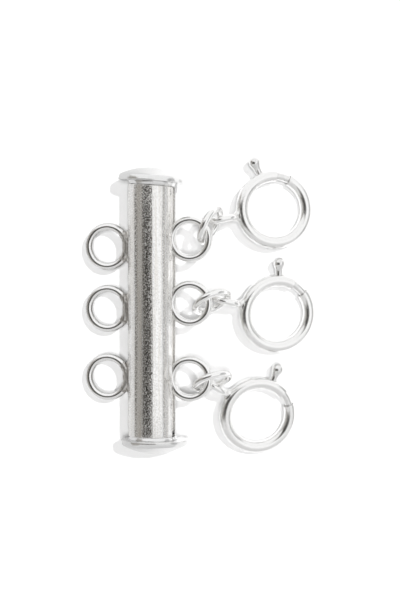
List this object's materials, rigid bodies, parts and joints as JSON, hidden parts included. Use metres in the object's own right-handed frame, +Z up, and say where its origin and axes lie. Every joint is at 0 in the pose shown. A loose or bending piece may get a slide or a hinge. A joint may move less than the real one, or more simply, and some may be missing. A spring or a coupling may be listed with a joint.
{
  "type": "multi-strand tube clasp with spring rings",
  "caption": "Silver slide-lock tube clasp lying flat: a domed slider in a slotted tube, with strand loops on one side and jump-ringed spring rings on the other.",
  "frame": {"origin": "on the floor under the middle of the whole clasp, as it lies", "axes": "+Y along the tube towards the slider's head, +X towards the spring rings, +Z up, away from the floor"},
  "size_m": [0.0204, 0.0264, 0.0061],
  "materials": {
    "tube_silver": "sterling silver, polished, with fine draw grain and pits",
    "slider_silver": "sterling silver, polished",
    "ring_silver": "sterling silver, bright polished",
    "gate_silver": "sterling silver, bright polished wire"
  },
  "bodies": {
    "tube": {"outer_tube": "tube_silver"},
    "slider": {"slider": "slider_silver", "jump_ring_1": "ring_silver", "spring_ring_1": "ring_silver", "jump_ring_2": "ring_silver", "spring_ring_2": "ring_silver", "jump_ring_3": "ring_silver", "spring_ring_3": "ring_silver"},
    "gate_1": {"gate_1": "gate_silver"},
    "gate_2": {"gate_2": "gate_silver"},
    "gate_3": {"gate_3": "gate_silver"}
  },
  "joints": [
    {"name": "slider_slide", "type": "slide", "parent": "tube", "child": "slider", "axis": [0, 1, 0], "range_m": [0, 0.0245]},
    {"name": "gate_1_turn", "type": "hinge", "parent": "slider", "child": "gate_1", "pos_m": [0.00651, 0.00856, 0.00131], "axis": [0.254, 0.0498, 0.9659], "range_deg": [0, 29], "stiffness_Nm_per_rad": 0.002, "springref_deg": -28.65},
    {"name": "gate_2_turn", "type": "hinge", "parent": "slider", "child": "gate_2", "pos_m": [0.00681, -0.00068, 0.00131], "axis": [0.251, -0.0631, 0.9659], "range_deg": [0, 29], "stiffness_Nm_per_rad": 0.002, "springref_deg": -28.65},
    {"name": "gate_3_turn", "type": "hinge", "parent": "slider", "child": "gate_3", "pos_m": [0.00509, -0.00971, 0.00131], "axis": [0.2112, -0.1496, 0.9659], "range_deg": [0, 29], "stiffness_Nm_per_rad": 0.002, "springref_deg": -28.65}
  ]
}
